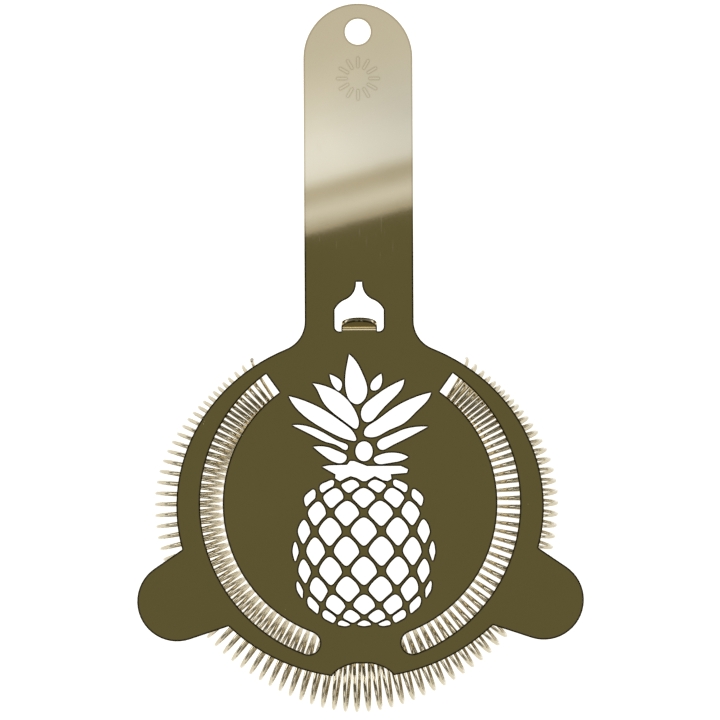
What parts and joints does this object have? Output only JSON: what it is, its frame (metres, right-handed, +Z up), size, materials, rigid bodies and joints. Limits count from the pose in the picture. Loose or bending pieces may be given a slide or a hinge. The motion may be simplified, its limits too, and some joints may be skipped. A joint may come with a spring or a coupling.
{
  "type": "hawthorne strainer",
  "caption": "Flat bar strainer: round sheet-metal head with a pineapple cut-out, two ears and a long handle, over a coil spring bent into a hoop.",
  "frame": {"origin": "bottom centre of the bounding box, at the height of the spring's underside", "axes": "+Y along the handle, away from the round head; +Z up, through the sheet, with the spring below it; +X to the right"},
  "size_m": [0.105, 0.1675, 0.0226],
  "materials": {
    "plated_sheet": "polished champagne-gold plating on stainless sheet",
    "plated_wire": "bright champagne-gold plated spring wire"
  },
  "bodies": {
    "plate": {"plate": "plated_sheet"},
    "spring": {"spring": "plated_wire"}
  },
  "joints": [
    {"name": "gate", "type": "slide", "parent": "plate", "child": "spring", "axis": [0, 1, 0], "range_m": [0, 0.006], "stiffness_N_per_m": 200, "deforming": ["spring"]}
  ]
}
